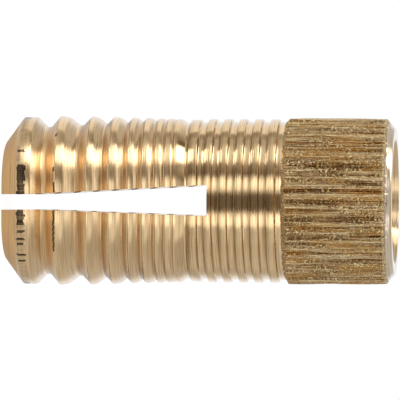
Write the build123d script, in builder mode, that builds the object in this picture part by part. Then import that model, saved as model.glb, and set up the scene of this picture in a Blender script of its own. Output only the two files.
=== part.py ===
"""A brass expansion insert: one turned, knurled and slotted sleeve for a machine screw.

The sleeve stands on its tip, with the mouth that the screw enters on top. A knurled
band runs below the mouth, then plain ring grooves, then barbs that grow deeper and
wider towards the tip. A saw slot splits the lower half into two jaws, and the jaws
are squeezed together, so that the screw spreads them again.

Frame: millimetres, +Z up along the sleeve from the middle of the tip's end face.
The slot lies along Y, and the jaws close along X.
"""
import os
from math import cos, radians, sin, tan

from build123d import *

# Whole sleeve
length = 25.0
land_radius = 5.20

# Head: knurled band between two chamfers
knurl_length = 6.65
knurl_rise = 0.12
knurl_teeth = 56
knurl_depth = 0.17
knurl_groove_angle = 100.0
head_chamfer_width = 0.63
head_chamfer_height = 0.46

# Bore at its tapping size, countersunk at the mouth
bore_radius = 3.40
countersink_width = 0.65
countersink_angle = 90.0

# Even ring grooves between the head and the barbs
ring_depth = 0.19
ring_pitch = 1.00
ring_gap = 0.55
ring_floor_width = 0.30
ring_flank_width = 0.08
last_ring_runout = 0.48

# Jaws: saw slot, and the bend that then squeezes them together
slot_length = 13.40
slot_width = 1.92
jaw_bend = 2.2

# Barbs, as turned on the straight bar, before the jaws are bent
flare_rise = 0.55
flare_top = 12.40
flare_angle = 3.9
tip_wall = 0.77
tip_chamfer_height = 1.18
first_barb_depth = 0.65
first_barb_groove = 2.88
barb_pitches = (2.11, 1.63, 1.32, 1.00, 0.84, 0.70, 0.62)
barb_flank_angle = 43.0
barb_floor_widths = (0.30, 0.26)
barb_floor_rise = 1.05

knurl_radius = land_radius + knurl_rise
ring_floor_radius = land_radius - ring_depth
shoulder_height = knurl_radius - ring_floor_radius
stock_radius = land_radius + flare_rise
tip_radius = bore_radius + tip_wall
tip_face_height = tip_radius * sin(radians(jaw_bend))
facing_stock = 1.5 * tip_face_height
knurl_bottom = length - knurl_length
first_ring = knurl_bottom - ring_gap


def crest_radius(height):
    """Radius of the bar between its grooves: stock at the tip, then a taper, then a cylinder."""
    flare = max(flare_top - height, 0.0) * tan(radians(flare_angle))
    return min(land_radius + flare, stock_radius)


def groove(centre, floor_radius, floor_width, lower_run, upper_run):
    """The four outline points of one groove, from the tip towards the head."""
    low, high = centre - floor_width / 2, centre + floor_width / 2
    return [
        (crest_radius(low - lower_run), low - lower_run),
        (floor_radius, low),
        (floor_radius, high),
        (crest_radius(high + upper_run), high + upper_run),
    ]


def barb_grooves():
    """Outline points of the grooves between the barbs, deepest and widest at the tip.

    The first grooves have a flat floor, and the rest are plain V grooves.
    """
    points, centre = [], first_barb_groove
    first_floor = stock_radius - first_barb_depth
    for index, pitch in enumerate((*barb_pitches, 0.0)):
        floor_radius = first_floor + (centre - first_barb_groove) * tan(radians(barb_floor_rise))
        run = (crest_radius(centre) - floor_radius) / tan(radians(barb_flank_angle))
        if index < len(barb_floor_widths):
            points += groove(centre, floor_radius, barb_floor_widths[index], run, run)
        else:
            low, high = centre - run, centre + run
            points += [(crest_radius(low), low), (floor_radius, centre), (crest_radius(high), high)]
        centre += pitch
    return points


def ring_grooves(barbs_top):
    """Outline points of the even rings, as many as find room between the barbs and the head.

    The ring nearest the barbs runs out towards them in a long slope, and the floor of the
    one nearest the head goes on to the knurl's chamfer.
    """
    lowest = barbs_top + last_ring_runout + ring_floor_width / 2
    last = int((first_ring - lowest) / ring_pitch)
    points = []
    for index in range(last, -1, -1):
        centre = first_ring - index * ring_pitch
        lower_run = last_ring_runout if index == last else ring_flank_width
        points += groove(centre, ring_floor_radius, ring_floor_width, lower_run, ring_flank_width)
    return points[:-2]


def bar_outline():
    """Half section of the turned and bored bar, as (radius, height) points.

    The tip is drawn a little long, so that it can be faced flat after the bend.
    """
    chamfer_slope = (stock_radius - tip_radius) / tip_chamfer_height
    countersink_depth = countersink_width / tan(radians(countersink_angle / 2))
    barbs = barb_grooves()
    return [
        (bore_radius, tip_face_height - facing_stock),
        (tip_radius - facing_stock * chamfer_slope, tip_face_height - facing_stock),
        (stock_radius, tip_face_height + tip_chamfer_height),
        *barbs,
        *ring_grooves(barbs_top=barbs[-1][1]),
        (ring_floor_radius, knurl_bottom - shoulder_height),
        (knurl_radius, knurl_bottom),
        (knurl_radius, length - head_chamfer_height),
        (knurl_radius - head_chamfer_width, length),
        (bore_radius + countersink_width, length),
        (bore_radius, length - countersink_depth),
    ]


def bend_plane(tilt):
    """Plane through the slot's root, tilted about Y: half the bend either way is the mitre."""
    return Plane(origin=hinge, z_dir=(sin(radians(tilt)), 0, cos(radians(tilt))))


hinge = (0, 0, slot_length)

with BuildPart() as bar:
    with BuildSketch(Plane.XZ):
        with BuildLine():
            Polyline(*bar_outline(), close=True)
        make_face()
    revolve(axis=Axis.Z)

    # Straight knurl: one V cut for each tooth, from below the lower chamfer to the mouth's face
    notch_bottom = knurl_bottom - shoulder_height - knurl_depth
    notch_height = 2 * knurl_depth
    notch_half_width = notch_height * tan(radians(knurl_groove_angle / 2))
    with BuildSketch(Plane.XY.offset(notch_bottom)):
        with PolarLocations(0, knurl_teeth):
            Polygon(
                (knurl_radius - knurl_depth, 0),
                (knurl_radius - knurl_depth + notch_height, notch_half_width),
                (knurl_radius - knurl_depth + notch_height, -notch_half_width),
                align=None,
            )
    extrude(amount=length - notch_bottom, mode=Mode.SUBTRACT)


def saw_cut(spare_above=0.0):
    """Takes the saw slot out of the part being built, from below the tip up to its root."""
    with Locations((0, 0, slot_length + spare_above)):
        Box(
            slot_width,
            4 * stock_radius,
            slot_length + spare_above + facing_stock,
            align=(Align.CENTER, Align.CENTER, Align.MAX),
            mode=Mode.SUBTRACT,
        )


# The +X jaw, cut and sawn from the straight bar and then turned about the slot's root
with BuildPart() as jaw:
    add(bar.part)
    split(bisect_by=bend_plane(-jaw_bend / 2), keep=Keep.BOTTOM)
    split(bisect_by=Plane.YZ, keep=Keep.TOP)
    saw_cut(spare_above=slot_width)
bent_jaw = jaw.part.rotate(Axis(hinge, (0, 1, 0)), jaw_bend)

# The +X half of the sleeve: its share of the head and rings, mitred to the bent jaw
with BuildPart() as half_sleeve:
    add(bar.part)
    split(bisect_by=bend_plane(jaw_bend / 2), keep=Keep.TOP)
    split(bisect_by=Plane.YZ, keep=Keep.TOP)
    saw_cut()
    add(bent_jaw)
    split(bisect_by=Plane.XY, keep=Keep.TOP)

with BuildPart() as insert_body:
    add(half_sleeve.part)
    mirror(half_sleeve.part, about=Plane.YZ)

insert_body.part.label = "insert_body"

os.makedirs("parts", exist_ok=True)
export_step(insert_body.part, "parts/insert_body.step")
print("insert_body", insert_body.part.bounding_box().size, round(insert_body.part.volume, 2), "mm3")
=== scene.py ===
import math

import bmesh
import bpy
from mathutils import Matrix, Vector


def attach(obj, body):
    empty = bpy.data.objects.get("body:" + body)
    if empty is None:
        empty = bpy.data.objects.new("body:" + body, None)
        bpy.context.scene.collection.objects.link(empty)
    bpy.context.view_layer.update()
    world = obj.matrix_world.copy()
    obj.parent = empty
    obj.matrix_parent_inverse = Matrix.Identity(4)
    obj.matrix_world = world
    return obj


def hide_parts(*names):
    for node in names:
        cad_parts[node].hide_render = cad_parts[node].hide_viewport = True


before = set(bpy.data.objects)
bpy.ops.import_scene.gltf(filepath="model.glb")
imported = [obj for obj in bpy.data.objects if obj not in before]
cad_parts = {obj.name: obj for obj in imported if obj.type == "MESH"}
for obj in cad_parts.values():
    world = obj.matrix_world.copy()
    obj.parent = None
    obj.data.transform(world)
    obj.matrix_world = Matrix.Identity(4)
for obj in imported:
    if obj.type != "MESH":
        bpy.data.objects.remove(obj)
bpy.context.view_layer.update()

# The sleeve is laid out straight, as it is before its jaws are squeezed. Sizes are in
# millimetres, and heights run along +Z from the tip's face.
MM = 0.001
LENGTH = 25.0
LAND = 5.235
BORE = 3.40
BORE_EDGE = 0.05

# Saw slot. It drifts to one side by a share of its depth, whole beside the cut and fading
# out between the two distances from the middle.
SLOT_ROOT = 13.35
SLOT_WIDTH = 1.98
SAW_DRIFT = 0.008
DRIFT_FADE = (4.6, 0.8)

# Jaws: their lean towards the slot, their own drift as a share of the slot's depth, the end
# of the slot that stays parallel, and the length over which the metal bends
JAW_LEAN = math.radians(2.56)
JAW_DRIFT = 0.005
PARALLEL_TIP = 2.2
BEND_LENGTH = 1.2

# Head: knurled band between two chamfers. The edge of the mouth's face is rounded by points
# that lie so far outwards and upwards from the face's rim.
HEAD_BOTTOM = 17.97
KNURL_RADIUS = 5.285
KNURL_TAPER = 0.035
KNURL_BOTTOM = 18.27
KNURL_CHAMFER = 0.20
HEAD_CHAMFER = 0.52
HEAD_CHAMFER_ROWS = (0.12, 0.3, 0.5, 0.75)
FACE_RADIUS = 4.69
FACE_EDGE = ((0.03, -0.02), (-0.02, 0.0), (-0.15, 0.0))
MOUTH_RADIUS = 4.05
COUNTERSINK_BOTTOM = 24.35

# Knurl, and the heights between which its two ends and its frayed lower edge fade
KNURL_TEETH = 56
KNURL_DEPTH = 0.20
KNURL_SEED = 3.0
KNURL_START = (18.04, 18.34)
KNURL_END = (24.66, 24.46)
FRAY_START = (17.98, 18.12)
FRAY_END = (18.65, 18.3)

# Screw thread in the bore, and the heights between which its two ends fade
THREAD_PITCH = 1.25
THREAD_DEPTH = 0.58
THREAD_ROOT_FLAT = 0.16
THREAD_FLANK = 0.34
THREAD_START = (0.0, 0.4)
THREAD_END = (24.34, 23.9)

# Barbs, as turned on the straight bar: a tip chamfer and a collar, then grooves that get
# smaller towards the head. Their flanks are given as slopes, and a rounding as its reach
# along each side of a corner and its number of steps.
STOCK = 5.87
FLARE_TOP = 12.40
FLARE_SLOPE = 0.079
TIP_RADIUS = 4.27
TIP_FACE = 0.186
TIP_FACE_WIDTH = 0.2
TIP_CHAMFER_TOP = 1.43
COLLAR_TOP = 2.20
BARB_CENTRES = (2.99, 5.08, 6.71, 8.05, 9.02, 9.90, 10.58, 11.20)
BARB_FLOORS = (0.30, 0.26, 0.08, 0.05, 0.04, 0.03, 0.03, 0.03)
BARB_FLANKS = (0.93, 1.06)
BARB_ROUNDING = (0.09, 3)
BARB_FLOOR_AT_TIP = 5.185
BARB_FLOOR_SLOPE = 0.0085
CREST_FALL = 0.20

# Even rings, the sloped run-out below them and the floor between them and the knurl. The
# rings' flanks are given as widths.
RING_FLOOR = 5.05
RING_WIDTHS = (0.31, 0.40, 0.42, 0.39, 0.39)
RING_CENTRES = (12.92, 13.84, 14.835, 15.82, 16.835)
RING_FLANKS = (0.08, 0.05)
RING_ROUNDING = (0.025, 2)
RING_TOP = 17.92
LAST_PITCH = 0.85
RUNOUT = (11.52, 11.96, 12.10, 12.20)
RUNOUT_FLOOR = 5.03
RUNOUT_DROP = 0.02

# Mesh fineness: columns of one jaw, of one gap between the jaws and of one knurl tooth, rows
# of the knurl and of one thread turn, and the least height between two rows
JAW_COLUMNS = 96
GAP_COLUMNS = 13
TOOTH_COLUMNS = 9
KNURL_ROWS = 40
THREAD_ROWS = 6
ROW_GAP = 0.05

# Limits: heights this near are the same, an outline that drops this much between two rows is
# falling, a rounding takes this share of a short side at most, and edges sharper than this
# angle stay sharp
SAME_HEIGHT = 1e-6
FALLING_STEP = 0.002
CORNER_SHARE = 0.45
SHARP_ANGLE = math.radians(38)

# Skins, kept as a mesh attribute for the node trees
OUTER_SKIN, BORE_SKIN, HEAD_SKIN = 1, 2, 3


def crest_radius(height):
    """Radius of the bar between its grooves, in the straight bar."""
    return min(LAND + max(FLARE_TOP - height, 0.0) * FLARE_SLOPE, STOCK)


def groove(centre, floor_radius, floor_width, low_run, high_run, fall=0.0):
    """Outline points of one groove, from the tip towards the head.

    The crest on the tip's side has dropped by the fall when it reaches the groove.
    """
    low, high = centre - floor_width / 2, centre + floor_width / 2
    return [
        (crest_radius(low - low_run) - fall, low - low_run),
        (floor_radius, low),
        (floor_radius, high),
        (crest_radius(high + high_run), high + high_run),
    ]


def soften(points, radius, steps):
    """Rounds every inner corner of an outline with a short curve."""
    result = [points[0]]
    for before, corner, after in zip(points, points[1:], points[2:]):
        a, b, c = Vector(before), Vector(corner), Vector(after)
        reach = min(radius, (a - b).length * CORNER_SHARE, (c - b).length * CORNER_SHARE)
        start = b + (a - b).normalized() * reach
        end = b + (c - b).normalized() * reach
        for step in range(steps + 1):
            t = step / steps
            result.append(tuple(start * (1 - t) ** 2 + b * 2 * t * (1 - t) + end * t * t))
    return result + [points[-1]]


def barb_outline():
    """Tip face's rim, chamfer, collar and barbs."""
    points = [(BORE + TIP_FACE_WIDTH, TIP_FACE), (TIP_RADIUS, TIP_FACE), (STOCK, TIP_CHAMFER_TOP)]
    for centre, floor_width in zip(BARB_CENTRES, BARB_FLOORS):
        floor_radius = BARB_FLOOR_AT_TIP + (centre - BARB_CENTRES[0]) * BARB_FLOOR_SLOPE
        depth = crest_radius(centre) - floor_radius
        low_run, high_run, fall = depth / BARB_FLANKS[0], depth / BARB_FLANKS[1], CREST_FALL * depth
        if centre == BARB_CENTRES[0]:
            low_run, fall = centre - floor_width / 2 - COLLAR_TOP, 0.0
        points += groove(centre, floor_radius, floor_width, low_run, high_run, fall)
    return points


def ring_outline():
    """The sloped run-out and the even rings, up to the floor below the knurl."""
    start, low, high, end = RUNOUT
    points = [
        (crest_radius(start), start),
        (RUNOUT_FLOOR, low),
        (RUNOUT_FLOOR, high),
        (LAND - RUNOUT_DROP, end),
    ]
    for centre, floor_width in zip(RING_CENTRES, RING_WIDTHS):
        points += groove(centre, RING_FLOOR, floor_width, *RING_FLANKS)
    floor_start = RING_CENTRES[-1] + LAST_PITCH
    return points + [
        (LAND, floor_start - RING_FLANKS[0]),
        (RING_FLOOR, floor_start),
        (RING_FLOOR, RING_TOP),
    ]


def with_row_at(points, height):
    """The outline with a row added at one height."""
    result = []
    for here, after in zip(points, points[1:]):
        result.append(here)
        if here[1] < height - SAME_HEIGHT and after[1] > height + SAME_HEIGHT:
            share = (height - here[1]) / (after[1] - here[1])
            result.append((here[0] + (after[0] - here[0]) * share, height))
    return result + [points[-1]]


class Shell:
    """Vertices and faces of the sleeve while it is being laid out, row by row."""

    def __init__(self):
        self.points, self.skins, self.depths, self.faces = [], [], [], []

    def point(self, x, y, z, skin, depth):
        """Adds a vertex at a place in millimetres, and gives its index."""
        self.points.append((x * MM, y * MM, z * MM))
        self.skins.append(skin)
        self.depths.append(depth)
        return len(self.points) - 1

    def arc(self, radius, height, turns, skin, depth=0.0):
        """Adds a vertex at each turn round the axis, in radians from +X."""
        return [
            self.point(radius * math.cos(turn), radius * math.sin(turn), height, skin, depth)
            for turn in turns
        ]

    def turn(self, index):
        """A vertex's turn round the axis, in radians from the -Y side.

        A hair is added, so that the -Y side itself is at zero and not at a whole turn.
        """
        x, y, _ = self.points[index]
        return (math.atan2(y, x) + math.pi / 2 + 1e-9) % (2 * math.pi)

    def strip(self, first, second):
        """Quads between two rows that have as many points."""
        for a, b, c, d in zip(first, first[1:], second[1:], second):
            self.faces.append((a, b, c, d))

    def zipped(self, first, second):
        """Triangles between two upright edges that have different numbers of points."""
        i = j = 0
        while i < len(first) - 1 or j < len(second) - 1:
            first_is_next = j == len(second) - 1 or (
                i < len(first) - 1 and self.points[first[i + 1]][2] <= self.points[second[j + 1]][2]
            )
            if first_is_next:
                self.faces.append((first[i], first[i + 1], second[j]))
                i += 1
            else:
                self.faces.append((first[i], second[j + 1], second[j]))
                j += 1

    def zipped_round(self, first, second):
        """Triangles between two rings that have different numbers of points.

        Both go counter-clockwise, and the second starts on the -Y side.
        """
        turns = {index: self.turn(index) for index in first + second}
        start = first.index(min(first, key=turns.get))
        first = first[start:] + first[:start]
        n, m = len(first), len(second)
        i = j = 0
        while i < n or j < m:
            next_first = turns[first[i + 1]] if i + 1 < n else 2 * math.pi + turns[first[0]]
            next_second = turns[second[j + 1]] if j + 1 < m else 2 * math.pi + turns[second[0]]
            a, b = first[i % n], second[j % m]
            if j == m or (i < n and next_first <= next_second):
                self.faces.append((a, first[(i + 1) % n], b))
                i += 1
            else:
                self.faces.append((a, second[(j + 1) % m], b))
                j += 1


def jaw_turns(radius):
    """Turns of one jaw's columns at one radius, from one face of the saw cut to the other."""
    span = math.pi / 2 - math.asin(SLOT_WIDTH / 2 / radius)
    return [span * (1 - 2 * i / JAW_COLUMNS) for i in range(JAW_COLUMNS + 1)]


def bar_row(shell, radius, height, skin, depth=0.0):
    """One row of the bar: two jaws, and from the slot's root up the gaps between them."""
    turns = jaw_turns(radius)
    near = shell.arc(radius, height, turns, skin, depth)
    far = shell.arc(-radius, height, turns, skin, depth)
    row = {"near": near, "far": far}
    if height >= SLOT_ROOT - SAME_HEIGHT:
        gap = math.pi - 2 * turns[0]
        between = [turns[0] + gap * i / GAP_COLUMNS for i in range(1, GAP_COLUMNS)]
        back = shell.arc(radius, height, between, skin, depth)
        front = shell.arc(-radius, height, between, skin, depth)
        row["back_gap"] = [near[0], *back, far[-1]]
        row["front_gap"] = [far[0], *front, near[-1]]
    return row


def full_circle(row):
    """A row's points once round, counter-clockwise."""
    jaws_and_gaps = (row["near"][::-1], row["back_gap"], row["far"][::-1], row["front_gap"])
    return [index for part in jaws_and_gaps for index in part[:-1]]


def join_rows(shell, lower, upper):
    """Quads between two rows, along the parts that both have."""
    for part in lower:
        if part in upper:
            shell.strip(lower[part], upper[part])


def outer_rows(shell):
    """Rows of the outer skin from the tip's face to the floor under the knurl, and their heights.

    Each row keeps its depth below the crests, from which the paint lays painted shade in the
    barbs' grooves and a painted sheen on the rings' flanks. Where the outline falls towards the
    head, the depth stays zero, because those flanks are as bright as the crests.
    """
    barbs = soften(barb_outline(), *BARB_ROUNDING)
    rings = soften(ring_outline(), *RING_ROUNDING)
    outline = with_row_at(barbs + rings, SLOT_ROOT)
    rows = []
    for (radius, height), (next_radius, _) in zip(outline, outline[1:] + outline[-1:]):
        falling = next_radius < radius - FALLING_STEP
        depth = 0.0 if falling else max(crest_radius(height) - radius, 0.0)
        rows.append(bar_row(shell, radius, height, OUTER_SKIN, depth))
    return rows, [height for radius, height in outline]


def bore_rows(shell):
    """Rows of the bore from the tip's face to the mouth, and their heights."""
    step = THREAD_PITCH / THREAD_ROWS
    count = int((COUNTERSINK_BOTTOM - ROW_GAP) / step)
    even = [step * i for i in range(2, count) if abs(step * i - SLOT_ROOT) > ROW_GAP]
    heights = sorted([TIP_FACE, TIP_FACE + ROW_GAP, SLOT_ROOT, COUNTERSINK_BOTTOM] + even)
    rows = [bar_row(shell, BORE + BORE_EDGE, TIP_FACE, BORE_SKIN)]
    rows += [bar_row(shell, BORE, height, BORE_SKIN) for height in heights[1:]]
    rows.append(bar_row(shell, MOUTH_RADIUS, LENGTH, BORE_SKIN))
    return rows, heights + [LENGTH]


def head_rows(shell):
    """Rows of the knurled head, from the floor below it to the mouth's face."""
    outline = [
        (RING_FLOOR, HEAD_BOTTOM),
        (RING_FLOOR, KNURL_BOTTOM - KNURL_CHAMFER),
        (KNURL_RADIUS, KNURL_BOTTOM),
    ]
    top = LENGTH - HEAD_CHAMFER
    rise = (top - KNURL_BOTTOM) / KNURL_ROWS
    for i in range(1, KNURL_ROWS + 1):
        outline.append((KNURL_RADIUS - KNURL_TAPER * i / KNURL_ROWS, KNURL_BOTTOM + rise * i))
    rim = KNURL_RADIUS - KNURL_TAPER
    for share in HEAD_CHAMFER_ROWS:
        outline.append((rim + (FACE_RADIUS - rim) * share, top + HEAD_CHAMFER * share))
    outline += [(FACE_RADIUS + out, LENGTH + up) for out, up in FACE_EDGE]
    columns = KNURL_TEETH * TOOTH_COLUMNS
    turns = [2 * math.pi * i / columns - math.pi / 2 for i in range(columns)]
    return [shell.arc(radius, height, turns, HEAD_SKIN) for radius, height in outline]


def sleeve_blank():
    """The straight, sawn and plain-bored sleeve as one closed mesh."""
    shell = Shell()
    outer, outer_heights = outer_rows(shell)
    bore, bore_heights = bore_rows(shell)
    head = head_rows(shell)
    for rows in (outer, bore):
        for lower, upper in zip(rows, rows[1:]):
            join_rows(shell, lower, upper)
    join_rows(shell, bore[0], outer[0])
    for lower, upper in zip(head, head[1:]):
        shell.strip(lower + lower[:1], upper + upper[:1])
    shell.zipped_round(full_circle(outer[-1]), head[0])
    shell.zipped_round(full_circle(bore[-1]), head[-1])

    root_outer = outer[outer_heights.index(SLOT_ROOT)]
    root_bore = bore[bore_heights.index(SLOT_ROOT)]
    for gap in ("back_gap", "front_gap"):
        shell.strip(root_outer[gap], root_bore[gap])

    def cut_edge(rows, heights, jaw, end):
        """One edge of a jaw's cut face, from the tip to the slot's root."""
        top = SLOT_ROOT + SAME_HEIGHT
        return [row[jaw][end] for row, height in zip(rows, heights) if height <= top]

    for jaw in ("near", "far"):
        for end in (0, -1):
            outside = cut_edge(outer, outer_heights, jaw, end)
            inside = cut_edge(bore, bore_heights, jaw, end)
            shell.zipped(outside, inside)
    return shell


def mesh_from(shell, name):
    """The laid out shell as a mesh, with what the node trees need kept as attributes."""
    mesh = bpy.data.meshes.new(name)
    mesh.from_pydata(shell.points, [], shell.faces)
    skin = mesh.attributes.new("skin", "INT", "POINT")
    skin.data.foreach_set("value", shell.skins)
    straight = mesh.attributes.new("straight", "FLOAT_VECTOR", "POINT")
    straight.data.foreach_set("vector", [c / MM for point in shell.points for c in point])
    depth = mesh.attributes.new("groove_depth", "FLOAT", "POINT")
    depth.data.foreach_set("value", shell.depths)
    work = bmesh.new()
    work.from_mesh(mesh)
    bmesh.ops.recalc_face_normals(work, faces=work.faces)
    work.to_mesh(mesh)
    work.free()
    mesh.polygons.foreach_set("use_smooth", [True] * len(mesh.polygons))
    return mesh


class Nodes:
    """A node tree being wired up, with short calls for the maths that it needs."""

    def __init__(self, tree):
        self.tree = tree

    def add(self, kind, **settings):
        node = self.tree.nodes.new(kind)
        for name, value in settings.items():
            setattr(node, name, value)
        return node

    def feed(self, socket, value):
        """Links another node's result to a socket, or sets the socket's own value."""
        if isinstance(value, bpy.types.NodeSocket):
            self.tree.links.new(value, socket)
        else:
            socket.default_value = value

    def maths(self, operation, *values, clamp=False):
        """A Math node's result."""
        node = self.add("ShaderNodeMath", operation=operation, use_clamp=clamp)
        for socket, value in zip(node.inputs, values):
            self.feed(socket, value)
        return node.outputs[0]

    def plus(self, total, *others):
        for other in others:
            total = self.maths("ADD", total, other)
        return total

    def minus(self, whole, part):
        return self.maths("SUBTRACT", whole, part)

    def times(self, product, *others):
        for other in others:
            product = self.maths("MULTIPLY", product, other)
        return product

    def ramp(self, value, low, high, start=0.0, end=1.0):
        """A smooth step from start to end while the value goes from low to high."""
        node = self.add("ShaderNodeMapRange", interpolation_type="SMOOTHSTEP")
        for socket, item in zip(node.inputs, (value, low, high, start, end)):
            self.feed(socket, item)
        return node.outputs[0]

    def vector(self, x, y, z):
        node = self.add("ShaderNodeCombineXYZ")
        for socket, value in zip(node.inputs, (x, y, z)):
            self.feed(socket, value)
        return node.outputs[0]

    def split(self, vector):
        node = self.add("ShaderNodeSeparateXYZ")
        self.feed(node.inputs[0], vector)
        return node.outputs

    def radius(self, x, y):
        return self.maths("SQRT", self.plus(self.times(x, x), self.times(y, y)))

    def noise(self, position, across, along, detail=2.0, roughness=0.5):
        """Noise from 0 to 1, with so many cells to a unit of length across and along the axis."""
        stretched = self.add("ShaderNodeVectorMath", operation="MULTIPLY")
        self.feed(stretched.inputs[0], position)
        self.feed(stretched.inputs[1], (across, across, along))
        node = self.add("ShaderNodeTexNoise")
        self.feed(node.inputs["Vector"], stretched.outputs[0])
        self.feed(node.inputs["Scale"], 1.0)
        self.feed(node.inputs["Detail"], detail)
        self.feed(node.inputs["Roughness"], roughness)
        return node.outputs[0]

    def mix(self, share, under, over):
        """One number fading into another, as the share goes from zero to one."""
        node = self.add("ShaderNodeMix", data_type="FLOAT")
        for index, value in ((0, share), (2, under), (3, over)):
            self.feed(node.inputs[index], value)
        return node.outputs[0]

    def paint(self, share, under, over):
        """One colour fading into another, as the share goes from zero to one."""
        node = self.add("ShaderNodeMix", data_type="RGBA")
        for index, value in ((0, share), (6, under), (7, over)):
            self.feed(node.inputs[index], value)
        return node.outputs[2]

    def group(self, tree, **inputs):
        """The results of a shader group, fed with its named inputs."""
        node = self.add("ShaderNodeGroup", node_tree=tree)
        for name, value in inputs.items():
            self.feed(node.inputs[name], value)
        return node.outputs


def node_group(name, kind, inputs, outputs):
    """A node group with named sockets, its wiring, its values and the sockets for its results."""
    tree = bpy.data.node_groups.new(name, kind)
    for label, socket in inputs:
        tree.interface.new_socket(label, in_out="INPUT", socket_type=socket)
    for label, socket in outputs:
        tree.interface.new_socket(label, in_out="OUTPUT", socket_type=socket)
    nodes = Nodes(tree)
    return tree, nodes, nodes.add("NodeGroupInput").outputs, nodes.add("NodeGroupOutput").inputs


def in_metres(heights):
    """A pair of heights in millimetres, for a ramp on a mesh position."""
    return [height * MM for height in heights]


def position_of(nodes):
    return nodes.split(nodes.add("GeometryNodeInputPosition").outputs[0])


def moved(nodes, mesh, x, y, z):
    node = nodes.add("GeometryNodeSetPosition")
    nodes.feed(node.inputs["Geometry"], mesh)
    nodes.feed(node.inputs["Position"], nodes.vector(x, y, z))
    return node.outputs[0]


def moved_outwards(nodes, mesh, x, y, z, step):
    """Moves each vertex away from the axis by the step, and to the height z."""
    scale = nodes.plus(nodes.maths("DIVIDE", step, nodes.radius(x, y)), 1.0)
    return moved(nodes, mesh, nodes.times(x, scale), nodes.times(y, scale), z)


def is_skin(nodes, wanted):
    """One on the vertices of the wanted skin, and zero elsewhere."""
    node = nodes.add("GeometryNodeInputNamedAttribute", data_type="INT")
    node.inputs["Name"].default_value = "skin"
    return nodes.maths("COMPARE", node.outputs["Attribute"], float(wanted), 0.1)


def turns_round(nodes, x, y):
    """Whole turns round the axis, from -0.5 to 0.5."""
    return nodes.maths("DIVIDE", nodes.maths("ARCTAN2", y, x), 2 * math.pi)


def tapped(nodes, values, mesh):
    """Cuts the right-hand screw thread into the bore."""
    x, y, z = position_of(nodes)
    turns = nodes.maths("DIVIDE", z, values["Thread Pitch"])
    phase = nodes.maths("FRACT", nodes.minus(turns, turns_round(nodes, x, y)))
    from_root = nodes.maths("ABSOLUTE", nodes.minus(phase, 0.5))
    from_root = nodes.times(from_root, values["Thread Pitch"])
    flank = THREAD_FLANK * MM
    left = nodes.minus(flank + THREAD_ROOT_FLAT * MM / 2, from_root)
    cut = nodes.times(
        nodes.maths("DIVIDE", left, flank, clamp=True),
        is_skin(nodes, BORE_SKIN),
        nodes.ramp(z, *in_metres(THREAD_START)),
        nodes.ramp(z, *in_metres(THREAD_END)),
        values["Thread Depth"],
    )
    return moved_outwards(nodes, mesh, x, y, z, cut)


def knurled(nodes, values, mesh):
    """Presses the ragged straight knurl into the head, and keeps its cut as an attribute."""
    x, y, z = position_of(nodes)
    seed_step = nodes.times(values["Seed"], 0.05)
    seeded = nodes.vector(x, y, nodes.plus(z, seed_step))

    def ragged(swing, across, along, detail=2.0, roughness=0.6):
        """Noise about zero, of the given swing, with so many cells per millimetre."""
        noise = nodes.noise(seeded, across / MM, along / MM, detail, roughness)
        return nodes.times(nodes.minus(noise, 0.5), nodes.times(values["Raggedness"], swing))

    on_head = is_skin(nodes, HEAD_SKIN)
    uneven_end = nodes.plus(z, ragged(0.5 * MM, 3.0, 0.1))
    band = nodes.times(
        on_head,
        nodes.ramp(z, *in_metres(KNURL_START)),
        nodes.ramp(uneven_end, *in_metres(KNURL_END)),
    )

    tooth = nodes.times(turns_round(nodes, x, y), values["Teeth"])
    sway = ragged(0.9, 1.0, 0.07, detail=1.0, roughness=0.5)
    within = nodes.maths("FRACT", nodes.plus(tooth, 0.5, sway))
    from_groove = nodes.maths("ABSOLUTE", nodes.minus(within, 0.5))
    strength = nodes.ramp(nodes.noise(seeded, 1.3 / MM, 0.26 / MM), 0.36, 0.62, 0.40, 1.15)
    cut = nodes.times(nodes.ramp(from_groove, 0.34, 0.0), strength)
    torn = ragged(1.5, 7.0, 0.15)
    drop = nodes.times(nodes.minus(cut, torn), values["Knurl Depth"], band)

    stored = nodes.add("GeometryNodeStoreNamedAttribute", data_type="FLOAT", domain="POINT")
    nodes.feed(stored.inputs["Geometry"], mesh)
    nodes.feed(stored.inputs["Name"], "knurl_cut")
    nodes.feed(stored.inputs["Value"], nodes.maths("DIVIDE", drop, values["Knurl Depth"]))

    rim = nodes.times(
        on_head, nodes.ramp(z, *in_metres(FRAY_START)), nodes.ramp(z, *in_metres(FRAY_END))
    )
    frayed = nodes.times(ragged(0.55 * MM, 3.6, 0.2, detail=3.0, roughness=0.7), rim)
    height = nodes.plus(z, frayed)
    return moved_outwards(nodes, stored.outputs[0], x, y, height, nodes.times(drop, -1.0))


def squeezed(nodes, values, mesh):
    """Bends the two jaws together below the slot's root, and lets the saw cut drift."""
    x, y, z = position_of(nodes)
    reach = nodes.maths("ABSOLUTE", x)
    below_root = nodes.maths("MAXIMUM", nodes.minus(values["Slot Root"], z), 0.0)
    in_tip = nodes.maths("MAXIMUM", nodes.minus(PARALLEL_TIP * MM, z), 0.0)
    leaning = nodes.minus(below_root, nodes.times(in_tip, values["Tip Relief"]))
    closing = nodes.times(leaning, nodes.maths("TANGENT", values["Bend"]))
    closing = nodes.times(nodes.maths("SIGN", x), closing)
    turned = nodes.ramp(below_root, 0.0, BEND_LENGTH * MM)
    drop = nodes.times(reach, nodes.times(turned, nodes.maths("SINE", values["Bend"])))
    beside_cut = nodes.ramp(reach, *in_metres(DRIFT_FADE))
    cut_drift = nodes.times(below_root, values["Saw Drift"], beside_cut)
    drift = nodes.plus(cut_drift, nodes.times(below_root, values["Jaw Drift"]))
    return moved(nodes, mesh, nodes.plus(nodes.minus(x, closing), drift), y, nodes.minus(z, drop))


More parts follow.
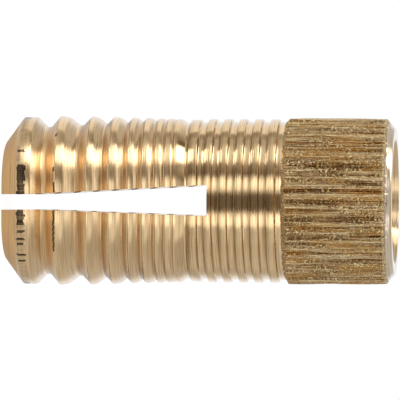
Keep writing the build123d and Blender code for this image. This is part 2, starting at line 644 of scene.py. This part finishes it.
WORKING = {
    "Thread Pitch": THREAD_PITCH * MM,
    "Thread Depth": THREAD_DEPTH * MM,
    "Teeth": KNURL_TEETH,
    "Knurl Depth": KNURL_DEPTH * MM,
    "Raggedness": 1.0,
    "Seed": KNURL_SEED,
    "Slot Root": SLOT_ROOT * MM,
    "Bend": JAW_LEAN,
    "Tip Relief": 1.0,
    "Saw Drift": SAW_DRIFT,
    "Jaw Drift": JAW_DRIFT,
}


def working_tree():
    """Tapping, knurling and squeezing of the sleeve, in that order."""
    shape = ("Mesh", "NodeSocketGeometry")
    numbers = [(label, "NodeSocketFloat") for label in WORKING]
    inputs = [shape, *numbers, ("Material", "NodeSocketMaterial")]
    tree, nodes, values, results = node_group("sleeve_working", "GeometryNodeTree", inputs, [shape])
    mesh = values["Mesh"]
    for step in (tapped, knurled, squeezed):
        mesh = step(nodes, values, mesh)
    whole = nodes.add("GeometryNodeRealizeInstances")
    nodes.feed(whole.inputs[0], mesh)
    finish = nodes.add("GeometryNodeSetMaterial")
    nodes.feed(finish.inputs["Geometry"], whole.outputs[0])
    nodes.feed(finish.inputs["Material"], values["Material"])
    nodes.feed(results["Mesh"], finish.outputs[0])
    return tree


def worked_sleeve(material):
    """The finished sleeve as a plain mesh object."""
    blank = mesh_from(sleeve_blank(), "sleeve_blank")
    sleeve = bpy.data.objects.new("insert_sleeve", blank)
    bpy.context.scene.collection.objects.link(sleeve)
    settings = {**WORKING, "Material": material}
    modifier = sleeve.modifiers.new("working", "NODES")
    modifier.node_group = working_tree()
    for item in modifier.node_group.interface.items_tree:
        if item.in_out == "INPUT" and item.name in settings:
            modifier[item.identifier] = settings[item.name]
    graph = bpy.context.evaluated_depsgraph_get()
    plain = bpy.data.meshes.new_from_object(sleeve.evaluated_get(graph))
    sleeve.modifiers.remove(modifier)
    sleeve.data = plain
    plain.name = "insert_sleeve"
    plain.set_sharp_from_angle(angle=SHARP_ANGLE)
    return sleeve


def shader_group(name, inputs, outputs):
    """A shader group that takes a position and other numbers, and gives numbers."""
    position = ("Position", "NodeSocketVector")
    numbers = [(label, "NodeSocketFloat") for label in inputs]
    results = [(label, "NodeSocketFloat") for label in outputs]
    return node_group(name, "ShaderNodeTree", [position, *numbers], results)


# Relief of the finish: turning marks, and the torn lines and specks of the knurl
MARK_HEIGHT = 0.010
LINE_RISE = 0.21
SPECK_RISE = 0.09
DULLER_BARBS = (12.0, 10.5)


def turning_marks():
    """Fine lines round the sleeve: a height in millimetres, a roughness and a share of dark."""
    tree, nodes, values, results = shader_group("turning_marks", [], ["Height", "Roughness", "Dark"])
    fine = nodes.noise(values["Position"], 0.25, 14.0, 3.0, 0.6)
    broad = nodes.noise(values["Position"], 0.4, 3.0)
    nodes.feed(results["Height"], nodes.times(nodes.plus(fine, broad), MARK_HEIGHT))
    height = nodes.split(values["Position"])[2]
    duller_barbs = nodes.ramp(height, *DULLER_BARBS, 0.0, 0.10)
    roughness = nodes.plus(nodes.ramp(broad, 0.35, 0.65, 0.06, 0.13), duller_barbs)
    nodes.feed(results["Roughness"], roughness)
    nodes.feed(results["Dark"], nodes.ramp(fine, 0.52, 0.36, 0.0, 0.30))
    return tree


def knurl_grain():
    """Torn metal along the knurl: a height in millimetres, and shares of dark (torn lines, pits
    and painted shade in the cut grooves), gold, and painted glints.
    """
    tree, nodes, values, results = shader_group(
        "knurl_grain", ["Cut"], ["Height", "Dark", "Gold", "Bright"]
    )
    position = values["Position"]
    lines = nodes.noise(position, 7.5, 0.16, 3.0, 0.75)
    tooth_tops = nodes.ramp(nodes.noise(position, 2.6, 0.5, 2.0, 0.6), 0.46, 0.56)
    chips = nodes.noise(position, 8.5, 7.5, 2.0, 0.7)
    pits = nodes.ramp(chips, 0.495, 0.445)
    pits = nodes.times(pits, nodes.ramp(tooth_tops, 0.0, 1.0, 0.28, 1.0))
    specks = nodes.ramp(chips, 0.52, 0.565)
    specks = nodes.times(specks, nodes.ramp(tooth_tops, 0.0, 1.0, 0.36, 1.0))
    height = nodes.plus(nodes.times(lines, LINE_RISE), nodes.times(specks, SPECK_RISE))
    nodes.feed(results["Height"], height)

    # Painted shade in the knurl's cut grooves
    groove = nodes.ramp(values["Cut"], 0.1, 0.9, 0.0, 0.63)
    thin_lines = nodes.ramp(lines, 0.51, 0.44, 0.0, 0.92)
    dark = nodes.maths("MAXIMUM", nodes.maths("MAXIMUM", groove, thin_lines), pits)
    nodes.feed(results["Dark"], nodes.times(dark, nodes.minus(1.0, specks)))
    nodes.feed(results["Gold"], nodes.ramp(nodes.noise(position, 1.5, 0.25, 2.0, 0.6), 0.46, 0.60))
    # Bright torn lines and specks, painted as glints
    bright_lines = nodes.ramp(lines, 0.54, 0.61, 0.0, 0.9)
    nodes.feed(results["Bright"], nodes.maths("MAXIMUM", bright_lines, specks))
    return tree


# The drawn bar's skin: a band with toothed edges round the collar, and a thin jagged line on
# the second crest. Each is whole beside the saw cut, and beyond its reach to either side of
# its middle only ticks are left.
SKIN_BAND = (1.31, 1.96)
SKIN_TEETH = (0.12, 0.15)
SKIN_MIDDLE = -0.43
SKIN_REACH = (2.5, 2.15)
SKIN_STREAKS = 0.18
LINE_HEIGHT = 3.71
LINE_JAG = 0.05
LINE_EDGE = (0.09, 0.04)
LINE_MIDDLE = 1.0
LINE_REACH = (2.8, 2.4)


def bar_skin():
    """The dark, toothed rest of the drawn bar's skin, as a share of dark."""
    tree, nodes, values, results = shader_group("bar_skin", [], ["Dark"])
    x, y, z = nodes.split(values["Position"])
    turn = nodes.maths("DEGREES", nodes.maths("ARCTAN2", y, x))

    def random_cells(width, offset):
        """A random number for each cell round the axis, of the given width in degrees."""
        cell = nodes.maths("FLOOR", nodes.maths("DIVIDE", nodes.plus(turn, offset), width))
        node = nodes.add("ShaderNodeTexWhiteNoise", noise_dimensions="1D")
        nodes.feed(node.inputs["W"], nodes.plus(cell, offset))
        return node.outputs["Value"]

    def beside_cut(middle, reach):
        return nodes.ramp(nodes.maths("ABSOLUTE", nodes.minus(x, middle)), *reach)

    low = nodes.plus(SKIN_BAND[0], nodes.times(random_cells(2.3, 0.5), SKIN_TEETH[0]))
    high = nodes.minus(SKIN_BAND[1], nodes.times(random_cells(1.7, 7.5), SKIN_TEETH[1]))
    band = nodes.times(nodes.maths("GREATER_THAN", z, low), nodes.maths("LESS_THAN", z, high))
    ticks = nodes.plus(random_cells(1.8, 3.5), beside_cut(SKIN_MIDDLE, SKIN_REACH))
    streaks = nodes.times(random_cells(0.9, 11.5), SKIN_STREAKS)
    black = nodes.minus(nodes.ramp(ticks, 0.87, 0.91, 0.28, 1.0), streaks)
    collar = nodes.times(band, black)

    jag = nodes.times(random_cells(1.9, 5.5), LINE_JAG)
    from_line = nodes.maths("ABSOLUTE", nodes.minus(nodes.minus(z, LINE_HEIGHT), jag))
    whole = nodes.plus(beside_cut(LINE_MIDDLE, LINE_REACH), random_cells(3.0, 2.5))
    shown = nodes.maths("GREATER_THAN", whole, 0.93)
    line = nodes.times(nodes.ramp(from_line, *LINE_EDGE, 0.0, 0.9), shown)
    nodes.feed(results["Dark"], nodes.maths("MAXIMUM", collar, line, clamp=True))
    return tree


# Where the finish changes, as heights between which one look fades into the next. Knurl,
# chamfer, mouth and skin show only beyond the outside radius, clear of the bore.
BARBS = (12.2, 11.0)
COLLAR = (3.1, 2.9)
CHAMFER = (1.30, 1.15)
KNURL_LOW = (18.04, 18.10)
KNURL_HIGH = (24.64, 24.54)
KNURL_LOW_EDGE = (18.32, 18.18)
KNURL_HIGH_EDGE = (24.34, 24.44)
MOUTH = (24.52, 24.62)
RINGS = (12.72, 12.80)
OUTSIDE_RADIUS = 4.2

# Colours of the brass, from the lands to the darkest skin, among them painted shade,
# painted sheen and painted glints
LAND_BRASS = (0.90, 0.65, 0.36, 1)
BARB_BRASS = (0.93, 0.67, 0.38, 1)
COLLAR_BRASS = (0.80, 0.55, 0.29, 1)
# Painted shade in the barbs' grooves, stronger where they are deeper
BARB_GROOVE_SHADE_BRASS = (0.72, 0.43, 0.19, 1)
# Painted pale sheen on the rings' groove flanks
RING_GROOVE_SHEEN_BRASS = (0.96, 0.84, 0.68, 1)
CHAMFER_BRASS = (0.97, 0.64, 0.30, 1)
# Painted shade where the tip chamfer turns edge-on to the camera
CHAMFER_EDGE_ON_SHADE_BRASS = (0.62, 0.38, 0.19, 1)
MOUTH_BRASS = (0.97, 0.86, 0.72, 1)
# Dark turning marks and torn knurl lines and pits, with painted shade in the knurl's cut grooves
DARK_MARKS_AND_SHADE_BRASS = (0.26, 0.13, 0.026, 1)
GOLD_BRASS = (0.74, 0.40, 0.09, 1)
# Painted glints on the knurl's lines, specks and two ends
GLINT_BRASS = (1.0, 0.81, 0.47, 1)
# Painted pale sheen where a surface turns edge-on to the camera
GRAZING_SHEEN_BRASS = (0.90, 0.83, 0.78, 1)
# Painted shade on the barbs' outline, where they turn fully edge-on
OUTLINE_SHADE_BRASS = (0.42, 0.30, 0.22, 1)
SKIN_BLACK = (0.045, 0.03, 0.018, 1)


def brass():
    """Turned brass: bright lands, satin tip chamfer, torn knurl and dark bar skin at the tip,
    with painted shade, painted sheen and painted glints.
    """
    material = bpy.data.materials.new("brass")
    material.use_nodes = True
    nodes = Nodes(material.node_tree)
    shader = material.node_tree.nodes["Principled BSDF"]
    position = nodes.add("ShaderNodeAttribute", attribute_name="straight").outputs["Vector"]
    cut = nodes.add("ShaderNodeAttribute", attribute_name="knurl_cut").outputs["Fac"]
    depth = nodes.add("ShaderNodeAttribute", attribute_name="groove_depth").outputs["Fac"]
    x, y, z = nodes.split(position)
    outside = nodes.maths("GREATER_THAN", nodes.radius(x, y), OUTSIDE_RADIUS)
    marks = nodes.group(turning_marks(), Position=position)
    grain = nodes.group(knurl_grain(), Position=position, Cut=cut)
    remnant = nodes.group(bar_skin(), Position=position)

    knurl = nodes.times(nodes.ramp(z, *KNURL_LOW), nodes.ramp(z, *KNURL_HIGH), outside)
    chamfer = nodes.times(nodes.ramp(z, *CHAMFER), outside)
    barbs = nodes.ramp(z, *BARBS)

    bump = nodes.add("ShaderNodeBump")
    bump.inputs["Strength"].default_value = 1.0
    bump.inputs["Distance"].default_value = MM
    nodes.feed(bump.inputs["Height"], nodes.mix(knurl, marks["Height"], grain["Height"]))
    nodes.feed(shader.inputs["Normal"], bump.outputs[0])

    dull_groove = nodes.times(nodes.ramp(depth, 0.08, 0.25, 0.0, 0.15), barbs)
    roughness = nodes.mix(knurl, nodes.plus(marks["Roughness"], dull_groove), 0.22)
    nodes.feed(shader.inputs["Roughness"], nodes.mix(chamfer, roughness, 0.38))

    edge_on = nodes.add("ShaderNodeLayerWeight")
    edge_on.inputs["Blend"].default_value = 0.5
    facing = edge_on.outputs["Facing"]
    plain = nodes.minus(1.0, nodes.maths("MAXIMUM", knurl, chamfer))
    # The knurl's two ends, painted bright as glints
    knurl_edges = nodes.plus(
        nodes.ramp(z, *KNURL_LOW_EDGE, 0.0, 0.6), nodes.ramp(z, *KNURL_HIGH_EDGE, 0.0, 0.6)
    )
    bright = nodes.maths("MAXIMUM", grain["Bright"], knurl_edges)
    # Painted pale sheen on the rings' groove flanks, between their floors and their lands
    ring_flank_sheen = nodes.times(nodes.ramp(depth, 0.01, 0.05), nodes.ramp(depth, 0.18, 0.14))
    colour = LAND_BRASS
    for share, layer in (
        (barbs, BARB_BRASS),
        (nodes.ramp(z, *COLLAR, 0.0, 0.35), COLLAR_BRASS),
        # Painted shade in the barbs' grooves, by their depth below the crests
        (nodes.times(nodes.ramp(depth, 0.08, 0.40, 0.0, 0.62), barbs), BARB_GROOVE_SHADE_BRASS),
        (nodes.times(ring_flank_sheen, nodes.ramp(z, *RINGS, 0.0, 0.85)), RING_GROOVE_SHEEN_BRASS),
        (chamfer, CHAMFER_BRASS),
        # Painted shade where the tip chamfer turns edge-on to the camera
        (nodes.times(nodes.ramp(facing, 0.50, 0.85, 0.0, 0.50), chamfer), CHAMFER_EDGE_ON_SHADE_BRASS),
        (nodes.times(nodes.ramp(z, *MOUTH, 0.0, 0.62), outside), MOUTH_BRASS),
        # Dark marks and pits, with painted shade in the knurl's cut grooves
        (nodes.mix(knurl, marks["Dark"], grain["Dark"]), DARK_MARKS_AND_SHADE_BRASS),
        (nodes.times(grain["Gold"], nodes.times(knurl, 0.55)), GOLD_BRASS),
        # Painted glints on the knurl
        (nodes.times(bright, knurl), GLINT_BRASS),
        # Painted pale sheen where a surface turns edge-on to the camera
        (nodes.times(nodes.ramp(facing, 0.50, 1.0, 0.0, 0.60), plain), GRAZING_SHEEN_BRASS),
        # Painted shade on the barbs' outline, where they turn fully edge-on
        (nodes.times(nodes.ramp(facing, 0.90, 0.98, 0.0, 0.75), barbs), OUTLINE_SHADE_BRASS),
        (nodes.times(remnant["Dark"], outside), SKIN_BLACK),
    ):
        colour = nodes.paint(share, colour, layer)
    nodes.feed(shader.inputs["Base Color"], colour)
    shader.inputs["Metallic"].default_value = 1.0
    return material


sleeve = worked_sleeve(brass())
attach(sleeve, "root")
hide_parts("insert_body")


# The studio, as it shows in the brass. A box of light or shade has its start and end, in
# degrees from the camera's side towards -X, the softness of its edges and the light it adds.
# Z is the upward part of a direction, from -1 to 1.
ROOM_LIGHT = 0.52
LEAST_LIGHT = 0.12
STRIPS = ((16.0, 32.5, 1.5, 1.05), (12.5, 14.5, 0.8, 0.3), (-37.5, -18.5, 1.5, 1.0))
WALLS = (
    (62.0, 84.0, 9.0, 0.27),
    (35.5, 43.5, 1.5, -0.16),
    (38.0, 54.0, 5.0, -0.20),
    (102.0, 114.0, 3.0, -0.15),
    (-18.0, 12.5, 1.5, -0.36),
)
RAISED_SHADES = ((89.0, 105.0, 4.0, -0.18),)
BACK_WALLS = ((116.0, 190.0, 3.0, 0.40), (-190.0, -146.0, 14.0, 0.40))
SIDE_FILLS = ((-64.0, -22.0, 5.0, 0.32), (-116.0, -64.0, 8.0, -0.08))
LOW_FILLS = ((-116.0, -41.0, 2.0, 0.08),)

# Each group of boxes, and the steps in Z over which it goes from nothing to whole
BOXES = (
    (STRIPS, ((0.34, 0.16),)),
    (WALLS, ()),
    (RAISED_SHADES, ((0.0, 0.2),)),
    (BACK_WALLS, ((0.35, 0.1),)),
    (SIDE_FILLS, ((0.0, 0.3), (0.88, 0.66))),
    (LOW_FILLS, ((0.1, 0.0),)),
)

# A window high on the -X side: the normals of the three planes that bound it, and how far a
# direction has to lean towards each. A darker wall surrounds it, a spot lamp hangs just above
# it, and two strips of light run overhead, one on either side of the middle.
WINDOW_PLANES = (
    ((-0.624, 0.713, -0.319), 0.08),
    ((-0.042, -0.882, 0.470), 0.20),
    ((-0.918, 0.0, -0.395), 0.03),
)
WINDOW_LIGHT = 2.8
WINDOW_SOFTNESS = 0.05
SURROUND_SHADE = -0.18
SURROUND_WIDTH = 0.16
SURROUND_SOFTNESS = 0.06
SPOT_DIRECTION = (-0.355, 0.415, 0.838)
SPOT_EDGE = (0.972, 0.99)
SPOT_LIGHT = 1.8
OVERHEAD_LIGHT = 0.7


def studio_world():
    """White round the object for the camera, and a studio of soft boxes in its reflections."""
    world = bpy.data.worlds.new("studio")
    bpy.context.scene.world = world
    world.use_nodes = True
    nodes = Nodes(world.node_tree)
    direction = nodes.add("ShaderNodeTexCoord").outputs["Generated"]
    x, y, z = nodes.split(direction)
    azimuth = nodes.maths("ARCTAN2", nodes.times(x, -1.0), nodes.times(y, -1.0))
    azimuth = nodes.maths("DEGREES", azimuth)

    def box(start, end, softness, light):
        """A tall box of light, or of shade where its light is negative."""
        inside = nodes.ramp(azimuth, start - softness, start + softness)
        return nodes.times(inside, nodes.ramp(azimuth, end + softness, end - softness, 0.0, light))

    def towards(normal, low, high):
        """A smooth step from zero to one as the direction leans towards the normal."""
        node = nodes.add("ShaderNodeVectorMath", operation="DOT_PRODUCT")
        nodes.feed(node.inputs[0], direction)
        nodes.feed(node.inputs[1], normal)
        return nodes.ramp(node.outputs["Value"], low, high)

    def window(margin, softness):
        """One inside the window, which a margin makes larger, and zero outside it."""
        edges = [(normal, tilt - margin) for normal, tilt in WINDOW_PLANES]
        return nodes.times(*[towards(normal, at - softness, at + softness) for normal, at in edges])

    light = ROOM_LIGHT
    for boxes, fades in BOXES:
        group = nodes.plus(*[box(*sizes) for sizes in boxes])
        light = nodes.plus(light, nodes.times(group, *[nodes.ramp(z, *fade) for fade in fades]))

    surround = nodes.ramp(z, 0.1, 0.3, 0.0, SURROUND_SHADE)
    surround = nodes.times(window(SURROUND_WIDTH, SURROUND_SOFTNESS), surround)
    soft_box = nodes.ramp(z, 0.0, 0.45, 0.0, WINDOW_LIGHT)
    soft_box = nodes.times(window(0.0, WINDOW_SOFTNESS), soft_box)
    spot = nodes.times(towards(SPOT_DIRECTION, *SPOT_EDGE), SPOT_LIGHT)
    off_centre = nodes.maths("ABSOLUTE", x)
    overhead = nodes.times(
        nodes.ramp(off_centre, 0.16, 0.22),
        nodes.ramp(off_centre, 0.50, 0.38),
        nodes.ramp(y, 0.12, 0.02),
        nodes.ramp(z, 0.75, 0.90, 0.0, OVERHEAD_LIGHT),
    )
    light = nodes.plus(light, surround, spot, overhead, soft_box)
    light = nodes.maths("MAXIMUM", light, LEAST_LIGHT)
    light = nodes.times(light, nodes.ramp(z, -0.35, -0.15, 0.45, 1.0))

    path = nodes.add("ShaderNodeLightPath")
    strength = nodes.mix(path.outputs["Is Camera Ray"], light, 1.0)
    warm, white = (1.0, 0.84, 0.68, 1), (1, 1, 1, 1)
    tint = nodes.paint(nodes.ramp(strength, 0.1, 0.6), warm, white)
    background = world.node_tree.nodes["Background"]
    nodes.feed(background.inputs["Color"], tint)
    nodes.feed(background.inputs["Strength"], strength)


def near_card():
    """A small soft box close to the jaws, in front and on the -X side, that lights the barbs."""
    start, end = Vector((-28.6, -19.9, 0.0)), Vector((-33.2, -9.6, 0.0))
    low, high = -6.0, 6.4
    brightness = 2.4
    across = (end - start).normalized()
    towards = Vector((across.y, -across.x, 0.0))
    data = bpy.data.lights.new("near_card", "AREA")
    data.shape = "RECTANGLE"
    data.size, data.size_y = (end - start).length * MM, (high - low) * MM
    data.energy = brightness * math.pi * data.size * data.size_y
    card = bpy.data.objects.new("near_card", data)
    bpy.context.scene.collection.objects.link(card)
    turn = Matrix((across, Vector((0, 0, 1)), -towards)).transposed().to_4x4()
    centre = (start + end) / 2 + Vector((0, 0, (low + high) / 2))
    card.matrix_world = Matrix.Translation(centre * MM) @ turn
    card.visible_camera = False


def white_floor():
    """A small white disc under the tip, which keeps a faint shadow."""
    radius, grey = 0.014, 0.35
    glow_seen, glow_reflected = 0.95, 0.40
    mesh = bpy.data.meshes.new("floor")
    work = bmesh.new()
    bmesh.ops.create_circle(work, cap_ends=True, segments=96, radius=radius)
    work.to_mesh(mesh)
    work.free()
    floor = bpy.data.objects.new("floor", mesh)
    bpy.context.scene.collection.objects.link(floor)
    material = bpy.data.materials.new("floor_white")
    material.use_nodes = True
    nodes = Nodes(material.node_tree)
    shader = material.node_tree.nodes["Principled BSDF"]
    shader.inputs["Base Color"].default_value = (grey, grey, grey, 1)
    shader.inputs["Roughness"].default_value = 1.0
    shader.inputs["Specular IOR Level"].default_value = 0.0
    shader.inputs["Emission Color"].default_value = (1, 1, 1, 1)
    path = nodes.add("ShaderNodeLightPath")
    seen = nodes.times(path.outputs["Is Camera Ray"], glow_seen)
    reflected = nodes.times(path.outputs["Is Glossy Ray"], glow_reflected)
    nodes.feed(shader.inputs["Emission Strength"], nodes.plus(seen, reflected))
    mesh.materials.append(material)


def aim_camera():
    """The photo's view: level with the slot, a little above the mouth, and turned on its side."""
    distance, lens, lift, roll = 0.321, 450.0, math.radians(5.44), 0.0062
    forward = Vector((0, math.cos(lift), -math.sin(lift)))
    level_right, level_up = Vector((0, math.sin(lift), math.cos(lift))), Vector((-1, 0, 0))
    right = level_right * math.cos(roll) + level_up * math.sin(roll)
    up = level_up * math.cos(roll) - level_right * math.sin(roll)
    target = Vector((-0.030 * MM, 0, 12.45 * MM))
    data = bpy.data.cameras.new("camera")
    data.lens = lens
    data.sensor_width = 36.0
    data.clip_start, data.clip_end = 0.01, 10.0
    camera = bpy.data.objects.new("camera", data)
    bpy.context.scene.collection.objects.link(camera)
    turn = Matrix((right, up, -forward)).transposed().to_4x4()
    camera.matrix_world = Matrix.Translation(target - forward * distance) @ turn
    bpy.context.scene.camera = camera


aim_camera()
studio_world()
near_card()
white_floor()
bpy.context.scene.view_settings.view_transform = "Standard"
